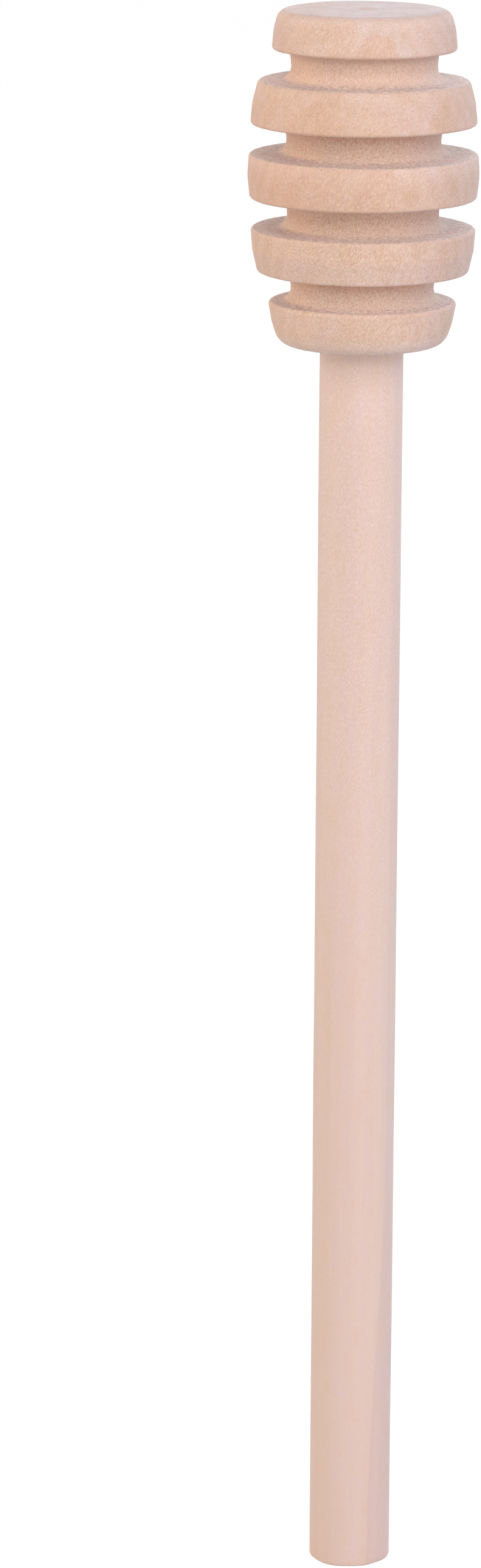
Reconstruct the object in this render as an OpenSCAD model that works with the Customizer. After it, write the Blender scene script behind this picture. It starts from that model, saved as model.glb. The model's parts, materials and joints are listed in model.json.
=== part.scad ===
// Honey dipper: a turned wooden head with five rings, glued on the end of a round dowel handle.
// Millimetres. Z runs up the handle to the head, and the origin is the centre of the handle's foot.

/* [Handle] */
// Diameter of the dowel
handle_d = 8; // [6:0.1:10]
// Length of the handle below the head
handle_len = 123.2; // [60:0.1:250]
// Rounding of the dowel's foot
handle_foot_r = 0.3; // [0.1:0.05:1.2]

/* [Rings] */
// Distance from one ring to the next
ring_pitch = 7; // [6:0.05:12]
// Width of the groove between two rings
groove_w = 2.85; // [1.9:0.05:3.5]
// Height of the ring at the crown
crown_ring_h = 3.8; // [3:0.1:6]
// Foot ring, diameter at its lower edge
foot_ring_low_d = 15.8; // [15:0.1:20]
// Foot ring, diameter at its upper edge
foot_ring_high_d = 18; // [17:0.1:22]
// Lower ring, diameter at its lower edge
lower_ring_low_d = 20.1; // [17.5:0.1:24]
// Lower ring, diameter at its upper edge
lower_ring_high_d = 21.4; // [18:0.1:26]
// Middle ring, diameter at its lower edge
middle_ring_low_d = 21.6; // [18:0.1:28]
// Middle ring, diameter at its upper edge
middle_ring_high_d = 21.8; // [18:0.1:28]
// Upper ring, diameter at its lower edge
upper_ring_low_d = 21.5; // [18:0.1:26]
// Upper ring, diameter at its upper edge
upper_ring_high_d = 20; // [17.5:0.1:24]
// Crown ring, diameter at its lower edge
crown_ring_low_d = 17.5; // [16.5:0.1:22]
// Crown ring, diameter at its upper edge
crown_ring_high_d = 16.2; // [15:0.1:20]
// How far each ring's rim swells between its edges
rim_swell = 0.16; // [0:0.02:0.4]

/* [Necks] */
// Neck above the foot ring, diameter at its waist
foot_neck_d = 13.4; // [12:0.1:14.2]
// Neck above the lower ring, diameter at its waist
lower_neck_d = 14.2; // [12:0.1:15.4]
// Neck above the middle ring, diameter at its waist
middle_neck_d = 14.4; // [12:0.1:15.4]
// Neck below the crown ring, diameter at its waist
crown_neck_d = 13.6; // [12:0.1:14.2]
// How far a neck widens from its waist to the ring above it, in radius
neck_flare = 0.25; // [0:0.05:0.4]
// Fillet where a neck runs out into the ring below it
cove_r = 1.25; // [0.2:0.05:1.4]
// Fillet where a neck meets the ring above it
undercut_r = 0.25; // [0.1:0.05:0.4]

/* [Edges] */
// Rounding of the crown's top edge
crown_edge_r = 1.15; // [0.2:0.05:1.5]
// Rounding of the head's bottom edge
foot_edge_r = 1.6; // [0.2:0.1:1.8]
// Rounding of the upper ring's top edge
upper_edge_r = 0.5; // [0.1:0.05:1]
// Rounding of the other rings' top edges
top_edge_r = 0.3; // [0.1:0.05:0.6]
// Rounding of the other rings' bottom edges
bottom_edge_r = 0.3; // [0.1:0.05:0.6]

/* [Joint between handle and head] */
// Depth of the drilled socket, up to the start of its point
socket_depth = 18; // [10:0.5:24]
// Angle of the drill point
drill_point_angle = 118; // [90:1:150]
// How far the tenon steps in from the dowel's wall
tenon_step = 0.5; // [0.3:0.05:1.2]
// Thickness of the glue film around the tenon
glue_gap = 0.1; // [0.05:0.01:0.15]
// Glue above the tenon's tip, up to the start of the drill point
glue_pad = 0.5; // [0.2:0.1:1.5]
// Rounding of the tenon's tip
tenon_tip_r = 0.6; // [0.1:0.05:1.2]

/* [Crown mark] */
// Diameter of the mark left by the lathe's centre
centre_mark_d = 2.6; // [1:0.1:4]
// Depth of that mark
centre_mark_depth = 0.35; // [0.1:0.05:0.8]

/* [Hidden] */
$fn = 96;

// Largest turn between two points of a rounded corner, in degrees
arc_step = 12;
// Radius that blends the two halves of a ring's rim
rim_blend_r = 5;
// Largest share of a ring's height that the rounding of its edge takes
edge_share = 0.39;

ring_h = ring_pitch - groove_w;
handle_r = handle_d / 2;
tenon_r = handle_r - tenon_step;
socket_r = tenon_r + glue_gap;
point_h = socket_r / tan(drill_point_angle / 2);
tenon_tip_z = handle_len + socket_depth - glue_pad;

// One row for each ring, from the handle up: its lower and upper diameter,
// its height, and the rounding of its lower and upper edge.
rings = [
    [foot_ring_low_d, foot_ring_high_d, ring_h, foot_edge_r, top_edge_r],
    [lower_ring_low_d, lower_ring_high_d, ring_h, bottom_edge_r, top_edge_r],
    [middle_ring_low_d, middle_ring_high_d, ring_h, bottom_edge_r, top_edge_r],
    [upper_ring_low_d, upper_ring_high_d, ring_h, bottom_edge_r, upper_edge_r],
    [crown_ring_low_d, crown_ring_high_d, crown_ring_h, bottom_edge_r, crown_edge_r]
];
neck_diameters = [foot_neck_d, lower_neck_d, middle_neck_d, crown_neck_d];
crown_i = len(rings) - 1;
head_h = crown_i * ring_pitch + crown_ring_h;

function unit(v) = v / norm(v);

// Points of the arc of radius r that rounds corner p between points a and b.
function corner_arc(a, p, b, r) =
    let (
        u = unit(a - p),
        v = unit(b - p),
        between = acos(max(-1, min(1, u * v))),
        middle = p + unit(u + v) * r / sin(between / 2),
        from = p + u * r / tan(between / 2) - middle,
        turn = 180 - between,
        side = u[0] * v[1] - u[1] * v[0] > 0 ? -1 : 1,
        steps = max(2, ceil(turn / arc_step))
    )
    [for (i = [0 : steps])
        let (t = side * turn * i / steps)
        middle + [from[0] * cos(t) - from[1] * sin(t), from[0] * sin(t) + from[1] * cos(t)]];

// Turns a list of [x, y, rounding] corners into points. A rounding of 0 keeps a corner sharp.
function rounded(corners) =
    [for (i = [0 : len(corners) - 1])
        let (
            here = corners[i],
            before = corners[max(i - 1, 0)],
            after = corners[min(i + 1, len(corners) - 1)],
            p = [here[0], here[1]]
        )
        each here[2] == 0
            ? [p]
            : corner_arc([before[0], before[1]], p, [after[0], after[1]], here[2])];

// Corners of ring i's rim, from its lower edge to its upper edge.
function rim_corners(i) =
    let (
        ring = rings[i],
        z = i * ring_pitch,
        low = ring[0] / 2,
        high = ring[1] / 2,
        h = ring[2]
    )
    [
        [low, z, min(ring[3], h * edge_share)],
        [(low + high) / 2 + rim_swell, z + h / 2, rim_swell == 0 ? 0 : rim_blend_r],
        [high, z + h, min(ring[4], h * edge_share)]
    ];

// Corners of the neck above ring i: the cove at its foot and the undercut below the next ring.
function neck_corners(i) =
    let (r = neck_diameters[i] / 2, z = i * ring_pitch + ring_h)
    [
        [r, z, cove_r],
        [r + neck_flare, z + groove_w, undercut_r]
    ];

head_corners = [
    [0, 0, 0],
    for (i = [0 : crown_i]) each concat(rim_corners(i), i < crown_i ? neck_corners(i) : []),
    [0, head_h, 0]
];

// The dowel, from its foot to the tip of the tenon that sits in the head.
module dowel_form() {
    rotate_extrude()
        polygon(rounded([
            [0, 0, 0],
            [handle_r, 0, handle_foot_r],
            [handle_r, handle_len, 0],
            [tenon_r, handle_len, 0],
            [tenon_r, tenon_tip_z, tenon_tip_r],
            [0, tenon_tip_z, 0]
        ]));
}

// The drilled socket, which starts this far below the head's lower face.
module socket_form(below) {
    translate([0, 0, handle_len])
        rotate_extrude()
            polygon([
                [0, -below],
                [socket_r, -below],
                [socket_r, socket_depth],
                [0, socket_depth + point_h]
            ]);
}

module centre_mark_form() {
    mark_r = centre_mark_d / 2;
    translate([0, 0, handle_len + head_h])
        rotate_extrude()
            polygon([
                [0, -centre_mark_depth],
                [mark_r, 0],
                [mark_r, centre_mark_depth],
                [0, centre_mark_depth]
            ]);
}

module handle() {
    color([0.90, 0.79, 0.71])
        dowel_form();
}

module head() {
    color([0.86, 0.72, 0.62])
        difference() {
            translate([0, 0, handle_len])
                rotate_extrude()
                    polygon(rounded(head_corners));
            socket_form(1);
            centre_mark_form();
        }
}

module glue() {
    color([0.93, 0.88, 0.70])
        difference() {
            socket_form(0);
            dowel_form();
        }
}

handle();
head();
glue();
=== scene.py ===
import json
import math
import random

import bpy
from mathutils import Matrix, Vector, noise

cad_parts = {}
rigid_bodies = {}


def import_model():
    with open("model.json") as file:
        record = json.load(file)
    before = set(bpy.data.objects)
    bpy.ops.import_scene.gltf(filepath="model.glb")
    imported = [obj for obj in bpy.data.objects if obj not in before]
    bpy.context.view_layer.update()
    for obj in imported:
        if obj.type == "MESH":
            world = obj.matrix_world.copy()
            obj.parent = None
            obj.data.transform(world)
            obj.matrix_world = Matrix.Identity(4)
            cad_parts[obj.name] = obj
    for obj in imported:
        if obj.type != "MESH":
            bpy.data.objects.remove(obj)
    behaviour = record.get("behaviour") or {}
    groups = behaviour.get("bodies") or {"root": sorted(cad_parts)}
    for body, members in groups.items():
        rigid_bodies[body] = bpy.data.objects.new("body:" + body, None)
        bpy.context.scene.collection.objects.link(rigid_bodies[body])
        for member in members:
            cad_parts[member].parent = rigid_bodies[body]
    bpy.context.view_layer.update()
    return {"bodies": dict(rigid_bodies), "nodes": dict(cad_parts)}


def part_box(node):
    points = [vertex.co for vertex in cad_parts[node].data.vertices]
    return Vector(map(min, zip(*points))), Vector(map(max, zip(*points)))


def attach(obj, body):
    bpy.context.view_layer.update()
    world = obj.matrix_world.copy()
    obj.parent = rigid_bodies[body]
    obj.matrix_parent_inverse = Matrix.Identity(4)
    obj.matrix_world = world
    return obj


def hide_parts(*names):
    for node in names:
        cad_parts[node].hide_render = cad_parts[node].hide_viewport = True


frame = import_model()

MM = 0.001
BODY = next(iter(frame["bodies"]))

# The camera that fits the photograph, whose frame is 791 pixels wide and 2576 high.
PHOTO_HEIGHT = 2576
FOCAL_PIXELS = 9141.8
SENSOR_MM = 36.0
CAMERA_PLACE = Vector((0.0, -525.7, 210.6)) * MM
CAMERA_PITCH = math.radians(-13.975)
CAMERA_YAW = math.radians(-1.237)
CAMERA_ROLL = math.radians(0.303)

# The dowel and its tenon.
DOWEL_R = 4.0 * MM
TENON_R = 3.5 * MM
FOOT_ROUND = 0.3 * MM
TIP_ROUND = 0.6 * MM
SAW_CUT = 0.16 * MM

# The head. Each ring has its lower and upper radius and the rounding of those two edges.
RING_PITCH = 7.0 * MM
GROOVE = 2.85 * MM
RING_HEIGHT = RING_PITCH - GROOVE
CROWN_HEIGHT = 3.8 * MM
RIM_SWELL = 0.16 * MM
SWELL_ROUND = 5.0 * MM
RINGS = [
    (7.90 * MM, 9.00 * MM, 1.60 * MM, 0.30 * MM),
    (10.05 * MM, 10.70 * MM, 0.30 * MM, 0.30 * MM),
    (10.80 * MM, 10.90 * MM, 0.30 * MM, 0.30 * MM),
    (10.75 * MM, 10.00 * MM, 0.30 * MM, 0.50 * MM),
    (8.75 * MM, 8.10 * MM, 0.30 * MM, 1.15 * MM),
]
NECKS = [6.70 * MM, 7.10 * MM, 7.20 * MM, 6.80 * MM]
NECK_FLARE = 0.25 * MM
COVE = 1.25 * MM
UNDERCUT = 0.25 * MM
SOCKET_R = 3.6 * MM
SOCKET_DEPTH = 18.0 * MM
SOCKET_POINT = SOCKET_R / math.tan(math.radians(118.0 / 2.0))
MARK_R = 1.3 * MM
MARK_DEPTH = 0.35 * MM

HEAD_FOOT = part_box("head")[0][2]
HEAD_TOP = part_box("head")[1][2]
TENON_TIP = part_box("handle")[1][2]

# How far the grain of each piece leans off the axis, towards +X at the top.
HEAD_LEAN = math.radians(24.0)
HANDLE_LEAN = math.radians(0.6)

# The growth layer that draws an arch on the front of the top ring, so many millimetres off the axis.
ARCH_NORMAL = (-0.140, 0.990, 0.0)
ARCH_DEPTH = 8.47

# How far up the head the top ring starts, in millimetres.
CROWN_UP = 4.0 * RING_PITCH / MM

# How far the growth layers wander, in layers.
LAYER_WANDER = 1.4

# How many torn fibres the grooves have.
FIBRES = 700

# How much of the floor's look is plain white, and how strong that white is. The rest of its look
# takes the light and the shadow.
FLOOR_WHITE = 0.9
FLOOR_GLOW = 1.08
FLOOR_HALF = 6.0

# How finely the turned pieces are cut: steps round the axis, and the longest stretch along an outline.
SEGMENTS = 400
STEP = 0.25 * MM


def unit(x, y):
    length = math.hypot(x, y)
    return x / length, y / length


def round_corner(before, corner, after, radius, steps=7):
    """Points of the arc that rounds one corner of an outline."""
    ux, uy = unit(before[0] - corner[0], before[1] - corner[1])
    vx, vy = unit(after[0] - corner[0], after[1] - corner[1])
    between = math.acos(max(-1.0, min(1.0, ux * vx + uy * vy)))
    bx, by = unit(ux + vx, uy + vy)
    reach = radius / math.sin(between / 2.0)
    cx = corner[0] + bx * reach
    cy = corner[1] + by * reach
    along = radius / math.tan(between / 2.0)
    start_x = corner[0] + ux * along - cx
    start_y = corner[1] + uy * along - cy
    side = -1.0 if ux * vy - uy * vx > 0.0 else 1.0
    points = []
    for i in range(steps + 1):
        turn = side * (math.pi - between) * i / steps
        x = start_x * math.cos(turn) - start_y * math.sin(turn)
        y = start_x * math.sin(turn) + start_y * math.cos(turn)
        points.append((cx + x, cy + y))
    return points


def rounded(corners):
    """Turns (radius, height, rounding) corners into points. A rounding of 0 keeps a corner sharp."""
    points = [corners[0][:2]]
    for before, corner, after in zip(corners, corners[1:], corners[2:]):
        if corner[2] == 0.0:
            points.append(corner[:2])
        else:
            points += round_corner(before, corner, after, corner[2])
    points.append(corners[-1][:2])
    return points


def spread(points, step):
    """Adds points along an outline so that none of its stretches is longer than a step."""
    result = [points[0]]
    for (r0, z0), (r1, z1) in zip(points, points[1:]):
        count = max(1, math.ceil(math.hypot(r1 - r0, z1 - z0) / step))
        for i in range(1, count + 1):
            share = i / count
            result.append((r0 + (r1 - r0) * share, z0 + (z1 - z0) * share))
    return result


def outline_normals(points):
    """The outward normal at each point of an outline that runs up the outside."""
    normals = []
    last = len(points) - 1
    for i in range(len(points)):
        r0, z0 = points[max(i - 1, 0)]
        r1, z1 = points[min(i + 1, last)]
        dr, dz = unit(r1 - r0, z1 - z0)
        normals.append((dz, -dr))
    return normals


def lathe(name, points, relief):
    """Turns an outline about Z. Its two ends lie on the axis; relief moves each vertex along its normal."""
    normals = outline_normals(points)
    vertices = [(0.0, 0.0, points[0][1])]
    for (r, z), (nr, nz) in zip(points[1:-1], normals[1:-1]):
        for k in range(SEGMENTS):
            angle = 2.0 * math.pi * k / SEGMENTS
            c = math.cos(angle)
            s = math.sin(angle)
            lift = relief(Vector((r * c, r * s, z)), nz)
            radius = r + nr * lift
            vertices.append((radius * c, radius * s, z + nz * lift))
    vertices.append((0.0, 0.0, points[-1][1]))
    faces = []
    rows = len(points) - 2
    for k in range(SEGMENTS):
        after = (k + 1) % SEGMENTS
        faces.append((0, 1 + after, 1 + k))
        for row in range(rows - 1):
            low = 1 + row * SEGMENTS
            high = low + SEGMENTS
            faces.append((low + k, low + after, high + after, high + k))
        top = 1 + (rows - 1) * SEGMENTS
        faces.append((top + k, top + after, len(vertices) - 1))
    mesh = bpy.data.meshes.new(name)
    mesh.from_pydata(vertices, [], faces)
    mesh.update()
    mesh.polygons.foreach_set("use_smooth", [True] * len(mesh.polygons))
    piece = bpy.data.objects.new(name, mesh)
    bpy.context.collection.objects.link(piece)
    return piece


def grain_place(point, lean, width, length):
    """A point in the wood's own frame, in units of a feature this wide and this long."""
    x = point.x * math.cos(lean) - point.z * math.sin(lean)
    z = point.x * math.sin(lean) + point.z * math.cos(lean)
    return Vector((x / width, point.y / width, z / length))


def smooth_step(low, high, value):
    share = max(0.0, min(1.0, (value - low) / (high - low)))
    return share * share * (3.0 - 2.0 * share)


def head_relief(point, normal_z):
    """The head's unevenness: a slow wobble, lifted fibres, and rough cuts on the necks and faces."""
    radius = math.hypot(point.x, point.y)
    if point.z < HEAD_FOOT + 0.01 * MM or radius < DOWEL_R + 0.2 * MM:
        return 0.0
    in_groove = 1.0 - smooth_step(7.4 * MM, 8.2 * MM, radius)
    below_top = 1.0 - smooth_step(HEAD_TOP - 0.5 * MM, HEAD_TOP, point.z)
    rough = max(in_groove, smooth_step(0.97, 1.0, normal_z)) * below_top
    wobble = noise.noise(point / (6.0 * MM)) * 0.05 * MM
    fibres = noise.noise(grain_place(point, HEAD_LEAN, 0.35 * MM, 1.6 * MM))
    torn = noise.noise(grain_place(point, HEAD_LEAN, 0.28 * MM, 0.7 * MM) + Vector((7.0, 3.0, 1.0)))
    return wobble + fibres * 0.012 * MM + torn * rough * 0.035 * MM


def handle_relief(point, normal_z):
    """The dowel's slight unevenness along its bare length, and its sawn foot."""
    if point.z < FOOT_ROUND:
        cut = max(0.0, 0.4 + noise.noise(Vector((point.x, point.y, 3.0 * MM)) / (2.2 * MM)))
        return cut * SAW_CUT * min(0.0, normal_z)
    if point.z > HEAD_FOOT - 0.05 * MM:
        return 0.0
    wobble = noise.noise(Vector((point.x, point.y, point.z * 0.25)) / (5.0 * MM)) * 0.03 * MM
    fibres = noise.noise(grain_place(point, HANDLE_LEAN, 0.4 * MM, 6.0 * MM))
    return wobble + fibres * 0.006 * MM


def ring_corners(index):
    low_r, high_r, low_round, high_round = RINGS[index]
    foot = HEAD_FOOT + index * RING_PITCH
    height = CROWN_HEIGHT if index == len(RINGS) - 1 else RING_HEIGHT
    return [
        (low_r, foot, low_round),
        ((low_r + high_r) / 2.0 + RIM_SWELL, foot + height / 2.0, SWELL_ROUND),
        (high_r, foot + height, high_round),
    ]


def neck_corners(index):
    foot = HEAD_FOOT + index * RING_PITCH + RING_HEIGHT
    return [
        (NECKS[index], foot, COVE),
        (NECKS[index] + NECK_FLARE, foot + GROOVE, UNDERCUT),
    ]


def head_outline():
    """From the drill point inside, down the socket, out and up the rings and in to the centre mark."""
    corners = [
        (0.0, HEAD_FOOT + SOCKET_DEPTH + SOCKET_POINT, 0.0),
        (SOCKET_R, HEAD_FOOT + SOCKET_DEPTH, 0.0),
        (SOCKET_R, HEAD_FOOT, 0.0),
    ]
    for index in range(len(RINGS)):
        corners += ring_corners(index)
        if index < len(NECKS):
            corners += neck_corners(index)
    corners += [
        (MARK_R, HEAD_TOP, 0.15 * MM),
        (0.0, HEAD_TOP - MARK_DEPTH, 0.0),
    ]
    return spread(rounded(corners), STEP)


def handle_outline():
    corners = [
        (0.0, 0.0, 0.0),
        (DOWEL_R, 0.0, FOOT_ROUND),
        (DOWEL_R, HEAD_FOOT, 0.0),
        (TENON_R, HEAD_FOOT, 0.0),
        (TENON_R, TENON_TIP, TIP_ROUND),
        (0.0, TENON_TIP, 0.0),
    ]
    return spread(rounded(corners), 2.0 * STEP)


class Shading:
    """A node material under construction."""

    def __init__(self, name, lean):
        self.lean = lean
        self.material = bpy.data.materials.new(name)
        self.material.use_nodes = True
        self.nodes = self.material.node_tree.nodes
        self.links = self.material.node_tree.links
        self.shader = self.nodes["Principled BSDF"]
        coordinates = self.nodes.new("ShaderNodeTexCoord")
        self.place = coordinates.outputs["Object"]
        self.normal = coordinates.outputs["Normal"]

    def put(self, value, socket):
        """Sets a socket to a number, or links it to another socket."""
        if isinstance(value, bpy.types.NodeSocket):
            self.links.new(value, socket)
        else:
            socket.default_value = value

    def grain(self, width, length, offset=(0.0, 0.0, 0.0)):
        """Coordinates in the wood's own frame, in units of a feature so many millimetres wide and long."""
        mapping = self.nodes.new("ShaderNodeMapping")
        mapping.vector_type = "TEXTURE"
        mapping.inputs["Location"].default_value = offset
        mapping.inputs["Rotation"].default_value = (0.0, self.lean, 0.0)
        mapping.inputs["Scale"].default_value = (width * MM, width * MM, length * MM)
        self.links.new(self.place, mapping.inputs["Vector"])
        return mapping.outputs["Vector"]

    def across_and_up(self):
        """How far to the right and how high a place lies, both in millimetres."""
        split = self.nodes.new("ShaderNodeSeparateXYZ")
        self.links.new(self.place, split.inputs["Vector"])
        return self.math("DIVIDE", split.outputs["X"], MM), self.math("DIVIDE", split.outputs["Z"], MM)

    def level(self):
        """How level the surface lies: 0 where it is upright, 1 where it faces up or down."""
        split = self.nodes.new("ShaderNodeSeparateXYZ")
        self.links.new(self.normal, split.inputs["Vector"])
        return self.math("ABSOLUTE", split.outputs["Z"])

    def along(self, direction, length=1.0):
        """How far a place lies along a direction, in units of this length in millimetres."""
        dot = self.nodes.new("ShaderNodeVectorMath")
        dot.operation = "DOT_PRODUCT"
        dot.inputs[1].default_value = [part / (length * MM) for part in direction]
        self.links.new(self.place, dot.inputs[0])
        return dot.outputs["Value"]

    def growth(self, direction, spacing, wander):
        """Growth layers across a direction, this far apart in millimetres: 0 to 1 and back."""
        warped = self.math("MULTIPLY_ADD", wander, LAYER_WANDER, self.along(direction, spacing))
        wave = self.math("SINE", self.math("MULTIPLY", warped, 2.0 * math.pi))
        return self.math("MULTIPLY_ADD", wave, 0.5, 0.5)

    def noise(self, vector, detail=2.0, roughness=0.5, distortion=0.0):
        texture = self.nodes.new("ShaderNodeTexNoise")
        texture.inputs["Scale"].default_value = 1.0
        texture.inputs["Detail"].default_value = detail
        texture.inputs["Roughness"].default_value = roughness
        texture.inputs["Distortion"].default_value = distortion
        self.links.new(vector, texture.inputs["Vector"])
        return texture.outputs["Fac"]

    def math(self, operation, a, b=0.0, c=0.0):
        node = self.nodes.new("ShaderNodeMath")
        node.operation = operation
        for value, socket in zip((a, b, c), node.inputs):
            self.put(value, socket)
        return node.outputs["Value"]

    def product(self, first, *others):
        """The product of several shares."""
        for other in others:
            first = self.math("MULTIPLY", first, other)
        return first

    def sway(self, base, value, share):
        """Adds to a base a share of how far a value from 0 to 1 lies off its middle."""
        return self.math("MULTIPLY_ADD", self.math("SUBTRACT", value, 0.5), share, base)

    def span(self, value, low, high, to_low=0.0, to_high=1.0):
        """Maps low..high to to_low..to_high, with soft ends."""
        node = self.nodes.new("ShaderNodeMapRange")
        node.interpolation_type = "SMOOTHSTEP"
        self.put(value, node.inputs["Value"])
        node.inputs["From Min"].default_value = low
        node.inputs["From Max"].default_value = high
        node.inputs["To Min"].default_value = to_low
        node.inputs["To Max"].default_value = to_high
        return node.outputs["Result"]

    def mix(self, share, a, b, blend="MIX"):
        node = self.nodes.new("ShaderNodeMix")
        node.data_type = "RGBA"
        node.blend_type = blend
        self.put(share, node.inputs[0])
        sockets = [s for s in node.inputs if s.type == "RGBA"]
        self.put(a, sockets[0])
        self.put(b, sockets[1])
        return next(s for s in node.outputs if s.type == "RGBA")

    def shift(self, share, colour, base, target):
        """Moves a colour, in part, by what turns base into target, so that its own detail stays."""
        factors = [b / a for a, b in zip(base[:3], target[:3])]
        return self.mix(share, colour, (*factors, 1.0), blend="MULTIPLY")

    def ramp(self, value, stops):
        """A colour ramp through (place, colour) stops."""
        node = self.nodes.new("ShaderNodeValToRGB")
        elements = node.color_ramp.elements
        for element, (position, colour) in zip(elements, stops):
            element.position = position
            element.color = colour
        for position, colour in stops[len(elements):]:
            elements.new(position).color = colour
        self.put(value, node.inputs["Fac"])
        return node.outputs["Color"]

    def finish(self, colour, roughness, sheen):
        """The finish of bare wood: its colour, a soft gloss and a slight dusty sheen."""
        self.links.new(colour, self.shader.inputs["Base Color"])
        self.shader.inputs["Roughness"].default_value = roughness
        self.shader.inputs["Specular IOR Level"].default_value = 0.3
        self.shader.inputs["Sheen Weight"].default_value = sheen
        self.shader.inputs["Sheen Roughness"].default_value = 0.4
        self.shader.inputs["Sheen Tint"].default_value = (0.9, 0.9, 1.0, 1.0)

    def bump(self, height, distance):
        node = self.nodes.new("ShaderNodeBump")
        node.inputs["Strength"].default_value = 1.0
        node.inputs["Distance"].default_value = distance * MM
        self.put(height, node.inputs["Height"])
        self.links.new(node.outputs["Normal"], self.shader.inputs["Normal"])


def srgb(red, green, blue):
    """A colour written as screen values from 0 to 255, as the shader's linear colour."""
    values = [value / 255.0 for value in (red, green, blue)]
    linear = [((v + 0.055) / 1.055) ** 2.4 for v in values]
    return (*linear, 1.0)


HEAD_MEAN = srgb(234, 200, 179)
HANDLE_MEAN = srgb(242, 214, 201)


def side_wood(s, blend, x, up):
    """The rings' sides: slanting flecks, streaks and faint growth layers, with painted warm light on the left
    and painted cool light on the right.
    """
    streaks = s.noise(s.grain(0.9, 14.0, (0.0, 0.004, 0.0)), detail=2.0)
    patches = s.noise(s.grain(2.2, 4.5, (0.02, 0.0, 0.0)), detail=3.0, roughness=0.6)
    layers = s.growth((0.10, 0.88, 0.46), 1.7, s.noise(s.grain(5.0, 16.0), detail=1.0))
    coarser_low = s.span(up, 16.0, 10.0, 1.08, 1.37)
    shade = s.sway(0.5, blend, coarser_low)
    shade = s.sway(shade, streaks, 0.12)
    shade = s.sway(shade, layers, -0.04)
    side = s.ramp(shade, [
        (0.34, srgb(222, 182, 157)),
        (0.46, srgb(233, 198, 176)),
        (0.54, srgb(238, 205, 185)),
        (0.66, srgb(248, 221, 203)),
    ])
    side = s.shift(s.span(patches, 0.50, 0.66, 0.0, 0.35), side, HEAD_MEAN, srgb(229, 190, 160))
    side = s.shift(s.span(patches, 0.48, 0.34, 0.0, 0.35), side, HEAD_MEAN, srgb(236, 205, 198))
    # Painted light: a warm tint on the left side and a cool tint on the right side, the colours of the lamps
    # there.
    side = s.shift(s.span(x, 1.0, -10.0, 0.0, 0.30), side, HEAD_MEAN, srgb(234, 190, 157))
    return s.shift(s.span(x, 1.0, 10.0, 0.0, 0.30), side, HEAD_MEAN, srgb(225, 195, 186))


def top_ring_wood(s, side, x, up):
    """The top ring: paler and cooler under painted light from above, with a growth layer that draws an arch
    on its front and pale wood beside it.
    """
    # Painted light: the top ring paler and cooler, as light from above falls on it.
    painted_top_light = s.span(up, CROWN_UP - 0.5, CROWN_UP + 0.5, 0.0, 0.34)
    side = s.shift(painted_top_light, side, HEAD_MEAN, srgb(241, 213, 201))
    in_ring = s.span(up, CROWN_UP - 1.0, CROWN_UP)
    past_layer = s.math("ADD", s.along(ARCH_NORMAL), ARCH_DEPTH)
    arch = s.product(s.span(past_layer, 0.03, -0.05), in_ring)
    side = s.shift(arch, side, srgb(231, 203, 191), srgb(228, 195, 180))
    beside = s.product(s.span(past_layer, -0.05, 0.03), s.span(past_layer, 0.65, 0.30), s.span(x, -0.8, 0.8))
    side = s.shift(s.product(beside, in_ring), side, srgb(234, 200, 183), srgb(233, 204, 190))
    left_of_it = s.product(s.span(past_layer, 0.0, 0.1), s.span(past_layer, 1.6, 1.0), s.span(x, -0.3, -1.5))
    return s.shift(s.product(left_of_it, in_ring), side, srgb(230, 197, 179), srgb(230, 195, 176))


def ring_tones(s, side, x, up, up_the_ring):
    """How the tone of the rings' sides differs from ring to ring and towards their edges, with painted light
    under the upper rims and painted shade on the flanks.
    """
    upper_rings = s.span(up, 11.5, 12.5)
    # Painted light: a paler band just under the top rim of the upper rings, where light from above falls.
    rim_light_share = s.math("ADD", s.span(up, 18.5, 20.5, 0.9, 0.3), s.span(up, 25.5, 27.5, 0.0, 0.7))
    painted_rim_light = s.product(s.span(up_the_ring, 2.2, 4.0), rim_light_share, upper_rings)
    side = s.shift(painted_rim_light, side, srgb(220, 188, 169), srgb(228, 198, 182))
    tan = s.product(s.span(up, 25.0, 19.5), upper_rings, s.span(x, 6.5, 1.0))
    side = s.shift(tan, side, srgb(228, 195, 177), srgb(225, 188, 168))
    foot_of_second = s.product(s.span(up, 9.6, 8.6), s.span(up, 6.0, 6.5))
    side = s.shift(foot_of_second, side, srgb(220, 186, 166), srgb(216, 184, 167))
    side = s.shift(s.span(up, 1.7, 0.8), side, srgb(216, 182, 162), srgb(216, 187, 172))
    # Painted shade: the rings' right flanks and the top ring's two flanks darker and warmer, where they turn
    # away from the light.
    painted_shade_right = s.span(x, 5.0, 9.0)
    side = s.shift(painted_shade_right, side, HEAD_MEAN, srgb(227, 192, 171))
    painted_shade_upper_right = s.product(painted_shade_right, s.span(up, 18.5, 21.0))
    side = s.shift(painted_shade_upper_right, side, srgb(212, 189, 183), srgb(213, 187, 178))
    painted_shade_crown_flanks = s.product(s.span(s.math("ABSOLUTE", x), 4.5, 7.0), s.span(up, 27.0, 27.8))
    return s.shift(painted_shade_crown_flanks, side, HEAD_MEAN, srgb(230, 195, 173))


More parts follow.
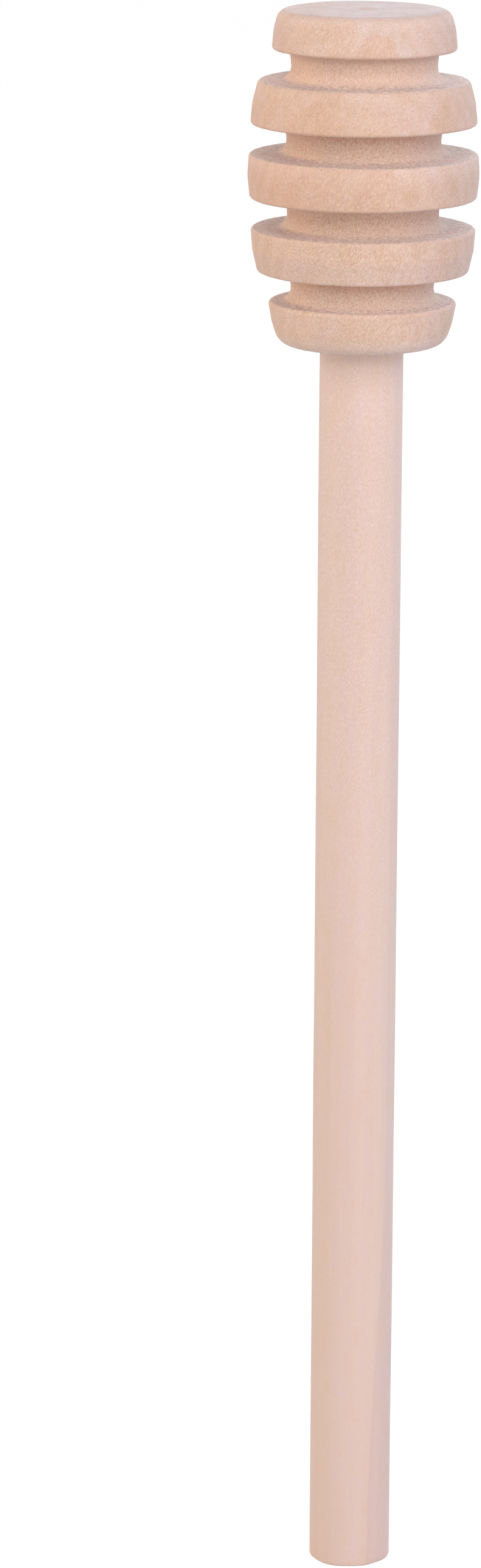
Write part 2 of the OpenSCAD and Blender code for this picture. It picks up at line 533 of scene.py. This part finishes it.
def neck_wood(s, torn, x, up, up_the_ring):
    """The necks in the grooves: torn grain, with painted shade in the corner under the ring above, painted
    light on their lower part and painted warm light on their left.
    """
    rougher_low = s.span(up, 26.0, 22.0, 0.93, 1.16)
    neck = s.ramp(s.sway(0.5, torn, rougher_low), [
        (0.32, srgb(207, 165, 142)),
        (0.45, srgb(232, 198, 179)),
        (0.56, srgb(242, 213, 197)),
        (0.70, srgb(250, 230, 218)),
    ])
    # Painted light: the lower part of each neck paler, below the shadow of the ring above.
    painted_light_neck_foot = s.product(s.span(up_the_ring, 5.4, 4.4), s.span(up, 25.0, 18.5, 0.45, 1.0))
    neck = s.shift(painted_light_neck_foot, neck, srgb(204, 165, 148), srgb(209, 174, 157))
    # Painted shade: each neck darker in the corner under the ring above, more in the lower grooves and in
    # every second one.
    neck = s.shift(s.span(up_the_ring, 6.0, 6.9), neck, srgb(188, 149, 131), srgb(184, 143, 125))
    painted_shade_low_corner = s.product(s.span(up_the_ring, 5.4, 6.6), s.span(up, 14.0, 7.0))
    neck = s.shift(painted_shade_low_corner, neck, srgb(191, 156, 139), srgb(188, 149, 130))
    every_second = s.span(s.math("MODULO", up, 2.0 * RING_PITCH / MM), 8.0, 7.5)
    painted_shade_second_corner = s.product(every_second, s.span(up_the_ring, 5.7, 6.5))
    neck = s.shift(painted_shade_second_corner, neck, srgb(185, 148, 130), srgb(182, 141, 122))
    # Painted warm light on the necks' left side.
    return s.shift(s.span(x, -3.0, -6.0), neck, srgb(194, 157, 138), srgb(202, 161, 136))


def face_wood(s, pores, x):
    """The rough end grain on the faces of the rings, with painted light on their left and right sides."""
    face = s.ramp(pores, [
        (0.34, srgb(190, 158, 145)),
        (0.49, srgb(221, 195, 184)),
        (0.62, srgb(240, 222, 215)),
    ])
    # Painted light: the faces paler on the left and bluer on the right, where light from the sides reaches
    # under the ring above.
    face = s.shift(s.span(x, -7.0, -1.0), face, srgb(200, 170, 160), srgb(209, 180, 167))
    return s.shift(s.span(x, 3.0, 8.0), face, srgb(200, 180, 167), srgb(202, 184, 176))


def crown_face_wood(s, pores, x):
    """The smooth end grain on top of the head, greyer partly from its end grain and partly from painted cool
    light from above, with painted warm light on its left.
    """
    bloom = s.noise(s.grain(1.6, 1.6, (0.0, 0.01, 0.0)), detail=3.0, roughness=0.6)
    # Partly painted cool light from above: the top's end grain greyer and bluer than the faces below.
    face = s.ramp(s.math("MULTIPLY_ADD", bloom, 0.5, s.math("MULTIPLY", pores, 0.5)), [
        (0.34, srgb(220, 196, 188)),
        (0.50, srgb(231, 211, 208)),
        (0.64, srgb(240, 224, 223)),
    ])
    # Painted warm light on the left of the top.
    return s.shift(s.span(x, 0.0, -5.0), face, srgb(216, 203, 202), srgb(216, 198, 193))


def head_wood():
    """Bare turned hardwood: flecked sides, torn grain in the grooves, rough faces and a smooth top."""
    s = Shading("head_wood", HEAD_LEAN)
    x, height = s.across_and_up()
    up = s.math("SUBTRACT", height, HEAD_FOOT / MM)
    up_the_ring = s.math("MODULO", up, RING_PITCH / MM)
    level = s.level()

    flecks = s.noise(s.grain(0.09, 0.44), detail=2.0, roughness=0.6, distortion=0.5)
    fine = s.noise(s.grain(0.055, 0.20, (0.003, 0.001, 0.0)), detail=1.0)
    blend = s.math("MULTIPLY_ADD", fine, 0.45, s.math("MULTIPLY", flecks, 0.55))
    torn = s.noise(s.grain(0.11, 0.27, (0.0, 0.0, 0.005)), detail=3.0, roughness=0.8, distortion=0.4)
    pores = s.noise(s.grain(0.32, 0.40, (0.001, 0.0, 0.002)), detail=4.0, roughness=0.7)
    freckles = s.noise(s.grain(0.16, 0.30, (0.0, 0.006, 0.001)), detail=2.0)

    side = side_wood(s, blend, x, up)
    side = top_ring_wood(s, side, x, up)
    side = ring_tones(s, side, x, up, up_the_ring)
    neck = neck_wood(s, torn, x, up, up_the_ring)

    at_crown = s.span(height, HEAD_TOP / MM - 1.2, HEAD_TOP / MM - 0.8)
    in_groove = s.span(up_the_ring, RING_HEIGHT / MM - 0.02, RING_HEIGHT / MM + 0.06)
    facing = s.product(s.span(level, 0.75, 0.97), s.math("SUBTRACT", 1.0, at_crown))
    crown_face = s.product(s.span(level, 0.86, 1.0), at_crown)
    colour = s.mix(in_groove, side, neck)
    colour = s.shift(s.span(freckles, 0.50, 0.62, 0.0, 0.20), colour, HEAD_MEAN, srgb(236, 194, 164))
    colour = s.shift(s.span(freckles, 0.50, 0.38, 0.0, 0.20), colour, HEAD_MEAN, srgb(232, 204, 194))
    colour = s.mix(facing, colour, face_wood(s, pores, x))
    colour = s.mix(crown_face, colour, crown_face_wood(s, pores, x))
    on_edge = s.product(s.span(level, 0.70, 0.82), s.span(level, 0.98, 0.92), at_crown)
    edge = s.product(on_edge, s.span(s.math("ABSOLUTE", x), 2.0, 4.5))
    colour = s.shift(edge, colour, srgb(223, 197, 188), srgb(218, 193, 183))

    s.finish(colour, roughness=0.62, sheen=0.12)
    ragged = s.math("MAXIMUM", in_groove, facing)
    s.bump(s.math("MULTIPLY_ADD", s.math("MULTIPLY", torn, ragged), 0.8, blend), 0.04)
    return s.material


def handle_wood():
    """Sanded dowel: paler and pinker, with fine flecks that fade towards the foot, painted warm light on its
    left and a painted shaded band along its right.
    """
    s = Shading("handle_wood", HANDLE_LEAN)
    x, height = s.across_and_up()

    flecks = s.noise(s.grain(0.14, 0.26), detail=2.0, distortion=0.5)
    fine = s.noise(s.grain(0.07, 0.12, (0.002, 0.0, 0.0)), detail=1.0)
    streaks = s.noise(s.grain(1.1, 40.0, (0.0, 0.003, 0.0)), detail=2.0)
    patches = s.noise(s.grain(1.4, 3.6, (0.01, 0.0, 0.0)), detail=3.0)
    blend = s.math("MULTIPLY_ADD", fine, 0.4, s.math("MULTIPLY", flecks, 0.6))
    strength = s.span(height, 44.0, 106.0, 0.26, 0.94)
    shade = s.sway(0.5, blend, strength)
    shade = s.sway(shade, streaks, 0.14)
    colour = s.ramp(shade, [
        (0.32, srgb(234, 203, 187)),
        (0.50, HANDLE_MEAN),
        (0.68, srgb(250, 226, 216)),
    ])
    colour = s.shift(s.span(patches, 0.50, 0.66, 0.0, 0.32), colour, HANDLE_MEAN, srgb(239, 209, 189))
    colour = s.shift(s.span(patches, 0.48, 0.34, 0.0, 0.32), colour, HANDLE_MEAN, srgb(240, 211, 211))

    # Painted warm light on the dowel's left side, stronger towards the foot.
    wander = s.math("MULTIPLY", s.noise(s.grain(3.0, 30.0, (0.0, 0.02, 0.0)), detail=1.0), 0.8)
    painted_warm_light_left = s.product(s.span(s.math("ADD", x, wander), -0.6, -2.6), s.span(height, 0.0, 100.0, 0.62, 0.27))
    colour = s.shift(painted_warm_light_left, colour, HANDLE_MEAN, srgb(234, 204, 183))
    # Painted shade: a darker, bluer band along the dowel's right side, where it turns away from the light.
    facet_shade_edge = s.span(height, 0.0, 45.0, 1.7, 3.2)
    past_edge = s.span(s.math("SUBTRACT", x, facet_shade_edge), -0.12, 0.12)
    painted_facet_shade = s.product(past_edge, s.span(height, 10.0, 70.0, 0.55, 0.25))
    colour = s.shift(painted_facet_shade, colour, HANDLE_MEAN, srgb(231, 200, 193))

    s.finish(colour, roughness=0.55, sheen=0.1)
    s.bump(shade, 0.02)
    return s.material


def glue_film():
    """Set wood glue, hidden in the joint: pale amber with a few small voids."""
    s = Shading("glue_film", 0.0)
    voids = s.noise(s.grain(0.5, 0.5), detail=2.0)
    colour = s.ramp(voids, [(0.35, srgb(206, 182, 128)), (0.6, srgb(232, 214, 170))])
    s.links.new(colour, s.shader.inputs["Base Color"])
    s.shader.inputs["Roughness"].default_value = 0.35
    s.bump(voids, 0.02)
    return s.material


def add_head(material):
    head = lathe("head_turned", head_outline(), head_relief)
    head.data.materials.append(material)
    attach(head, BODY)
    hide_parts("head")


def add_handle(material):
    handle = lathe("handle_dowel", handle_outline(), handle_relief)
    handle.data.materials.append(material)
    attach(handle, BODY)
    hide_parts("handle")


def fibre(root, along, length, thick, bend):
    """One thin closed spike of three sides: its vertices and its faces, counted from 0."""
    side = along.cross(Vector((0.3, 0.5, 0.8))).normalized()
    across = along.cross(side)
    vertices = []
    for share, width in ((0.0, 1.0), (0.55, 0.7)):
        centre = root + along * length * share + bend * share * share
        for k in range(3):
            angle = 2.0 * math.pi * k / 3.0
            vertices.append(centre + (side * math.cos(angle) + across * math.sin(angle)) * thick * width)
    vertices.append(root + along * length + bend)
    faces = [(0, 2, 1)]
    for k in range(3):
        after = (k + 1) % 3
        faces.append((k, after, after + 3, k + 3))
        faces.append((k + 3, after + 3, 6))
    return vertices, faces


def add_fibres(material):
    """Torn wood fibres that hang in the corners of the grooves and along the rings' lower rims."""
    chance = random.Random(11)
    share_in_corners = 0.7
    sunk = 0.06 * MM
    vertices = []
    faces = []
    for _ in range(FIBRES):
        index = chance.randrange(len(NECKS))
        angle = chance.uniform(0.0, 2.0 * math.pi)
        outward = Vector((math.cos(angle), math.sin(angle), 0.0))
        sideways = Vector((-math.sin(angle), math.cos(angle), 0.0))
        under = HEAD_FOOT + (index + 1) * RING_PITCH
        if chance.random() < share_in_corners:
            radius = NECKS[index] + NECK_FLARE + chance.uniform(0.05, 0.6) * MM
            length = chance.uniform(0.20, 0.55) * MM
        else:
            radius = RINGS[index + 1][0] - chance.uniform(0.25, 0.45) * MM
            length = chance.uniform(0.10, 0.25) * MM
        along = outward * chance.uniform(-0.2, 0.6) + sideways * chance.uniform(-0.7, 0.7)
        along = (along + Vector((0.0, 0.0, -1.0))).normalized()
        root = outward * radius + Vector((0.0, 0.0, under + sunk))
        bend = sideways * chance.uniform(-0.12, 0.12) * MM
        points, sides = fibre(root, along, length, chance.uniform(0.012, 0.024) * MM, bend)
        first = len(vertices)
        vertices += points
        faces += [tuple(first + corner for corner in face) for face in sides]
    mesh = bpy.data.meshes.new("head_fibres")
    mesh.from_pydata(vertices, [], faces)
    mesh.materials.append(material)
    fibres = bpy.data.objects.new("head_fibres", mesh)
    bpy.context.collection.objects.link(fibres)
    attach(fibres, BODY)
    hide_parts("head")


def dress_glue(material):
    for place in frame["nodes"]["glue"].material_slots:
        place.material = material


def add_camera():
    forward = Vector((
        math.sin(CAMERA_YAW) * math.cos(CAMERA_PITCH),
        math.cos(CAMERA_YAW) * math.cos(CAMERA_PITCH),
        math.sin(CAMERA_PITCH),
    ))
    level_right = Vector((math.cos(CAMERA_YAW), -math.sin(CAMERA_YAW), 0.0))
    level_up = level_right.cross(forward)
    right = level_right * math.cos(CAMERA_ROLL) + level_up * math.sin(CAMERA_ROLL)
    up = level_up * math.cos(CAMERA_ROLL) - level_right * math.sin(CAMERA_ROLL)
    data = bpy.data.cameras.new("camera")
    data.sensor_width = SENSOR_MM
    data.lens = FOCAL_PIXELS / PHOTO_HEIGHT * SENSOR_MM
    data.clip_start = 0.01
    camera = bpy.data.objects.new("camera", data)
    axes = Matrix((right, up, -forward)).transposed()
    camera.matrix_world = Matrix.Translation(CAMERA_PLACE) @ axes.to_4x4()
    bpy.context.collection.objects.link(camera)
    bpy.context.scene.camera = camera


def add_area_light(name, place, target, size, power, colour):
    data = bpy.data.lights.new(name, "AREA")
    data.shape = "RECTANGLE"
    data.size = size[0]
    data.size_y = size[1]
    data.energy = power
    data.color = colour
    light = bpy.data.objects.new(name, data)
    light.location = place
    light.rotation_euler = (Vector(target) - Vector(place)).to_track_quat("-Z", "Y").to_euler()
    bpy.context.collection.objects.link(light)


def add_lights():
    middle = (0.0, 0.0, 0.10)
    add_area_light("key", (0.05, -0.65, 0.60), middle, (0.7, 0.5), 3.2, (1.0, 0.91, 0.925))
    add_area_light("key_low", (0.05, -0.85, 0.34), middle, (0.7, 0.4), 1.4, (0.98, 1.0, 0.84))
    add_area_light("right", (0.7, -0.15, 0.25), middle, (0.5, 0.7), 1.05, (0.74, 0.76, 1.0))
    add_area_light("right_back", (0.6, 0.45, 0.4), middle, (0.4, 0.5), 1.9, (0.62, 0.87, 1.0))
    add_area_light("back", (0.0, 0.75, 0.45), middle, (0.8, 0.6), 2.0, (0.98, 1.0, 0.98))
    add_area_light("left_back", (-0.8, 0.25, 0.3), middle, (0.5, 0.6), 2.7, (1.0, 0.87, 0.77))


def camera_white(nodes, links, own, white, keep):
    """Mixes what a surface gives with plain white, for the camera and for reflections."""
    path = nodes.new("ShaderNodeLightPath")
    seen = path.outputs["Is Camera Ray"]
    for kind in ("Is Glossy Ray", "Is Transmission Ray"):
        either = nodes.new("ShaderNodeMath")
        either.operation = "MAXIMUM"
        links.new(seen, either.inputs[0])
        links.new(path.outputs[kind], either.inputs[1])
        seen = either.outputs["Value"]
    share = nodes.new("ShaderNodeMath")
    share.operation = "MULTIPLY"
    share.inputs[1].default_value = keep
    links.new(seen, share.inputs[0])
    mix = nodes.new("ShaderNodeMixShader")
    links.new(share.outputs["Value"], mix.inputs["Fac"])
    links.new(own, mix.inputs[1])
    links.new(white, mix.inputs[2])
    return mix.outputs["Shader"]


def add_world():
    world = bpy.data.worlds.new("world")
    bpy.context.scene.world = world
    world.use_nodes = True
    nodes = world.node_tree.nodes
    links = world.node_tree.links
    own = nodes["Background"]
    own.inputs["Color"].default_value = (0.97, 0.98, 1.0, 1.0)
    own.inputs["Strength"].default_value = 0.20
    white = nodes.new("ShaderNodeBackground")
    white.inputs["Color"].default_value = (1.0, 1.0, 1.0, 1.0)
    white.inputs["Strength"].default_value = 1.0
    shown = camera_white(nodes, links, own.outputs[0], white.outputs[0], 1.0)
    links.new(shown, nodes["World Output"].inputs["Surface"])


def add_floor():
    mesh = bpy.data.meshes.new("floor")
    corners = [(-FLOOR_HALF, -FLOOR_HALF, 0.0), (FLOOR_HALF, -FLOOR_HALF, 0.0)]
    corners += [(FLOOR_HALF, FLOOR_HALF, 0.0), (-FLOOR_HALF, FLOOR_HALF, 0.0)]
    mesh.from_pydata(corners, [], [(0, 1, 2, 3)])
    floor = bpy.data.objects.new("floor", mesh)
    bpy.context.collection.objects.link(floor)
    material = bpy.data.materials.new("floor")
    material.use_nodes = True
    nodes = material.node_tree.nodes
    links = material.node_tree.links
    shader = nodes["Principled BSDF"]
    shader.inputs["Base Color"].default_value = (0.75, 0.75, 0.76, 1.0)
    shader.inputs["Roughness"].default_value = 0.9
    white = nodes.new("ShaderNodeEmission")
    white.inputs["Strength"].default_value = FLOOR_GLOW
    shown = camera_white(nodes, links, shader.outputs[0], white.outputs[0], FLOOR_WHITE)
    links.new(shown, nodes["Material Output"].inputs["Surface"])
    mesh.materials.append(material)


add_camera()
add_world()
add_lights()
add_floor()
wood = head_wood()
add_head(wood)
add_fibres(wood)
add_handle(handle_wood())
dress_glue(glue_film())

bpy.context.scene.view_settings.view_transform = "Standard"
